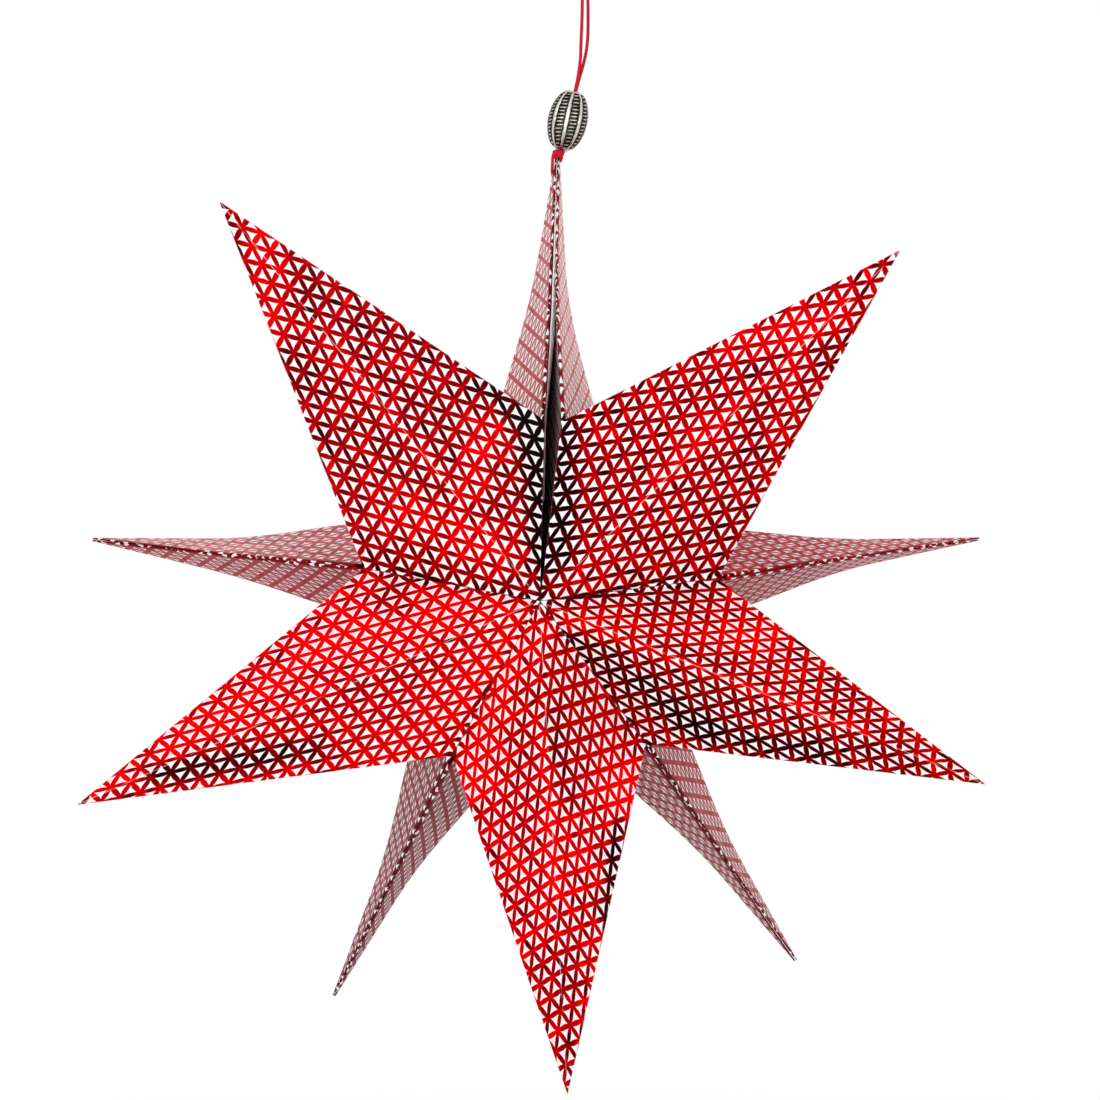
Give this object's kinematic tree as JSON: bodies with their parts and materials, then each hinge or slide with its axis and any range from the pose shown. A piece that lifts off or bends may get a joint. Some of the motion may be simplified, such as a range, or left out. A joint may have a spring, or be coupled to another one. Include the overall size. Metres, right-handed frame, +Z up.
{
  "type": "paper star lantern",
  "caption": "Hanging folded-paper star with deep hollow points, red foil print on white card, silver bead and red hanging cord.",
  "frame": {"origin": "where the cord's loop bears on its hook, in the plane of the five back tips", "axes": "+X to the right seen from the front, +Z up, +Y to the back; the star's front faces -Y"},
  "size_m": [0.3213, 0.1612, 0.4011],
  "materials": {
    "printed_paper": "white paper with satin red foil print",
    "white_card": "matt",
    "antique_silver": "antique silver with blackened grooves",
    "red_cord": "satin cord"
  },
  "bodies": {
    "cord": {"hanging_cord": "red_cord"},
    "bead": {"cord_bead": "antique_silver"},
    "star": {"star_point_upper_right": "printed_paper", "star_point_lower_right": "printed_paper", "star_point_bottom": "printed_paper", "star_point_lower_left": "printed_paper", "star_point_upper_left": "printed_paper", "end_card": "white_card", "tip_knot": "red_cord"}
  },
  "joints": [
    {"name": "bead_slide", "type": "slide", "parent": "cord", "child": "bead", "axis": [0.2089, 0, 0.9779], "range_m": [0, 0.008]},
    {"name": "star_turn", "type": "hinge", "parent": "cord", "child": "star", "pos_m": [-0.00934, -0.0009, -0.0773], "axis": [0, 0, 1], "continuous": true}
  ]
}
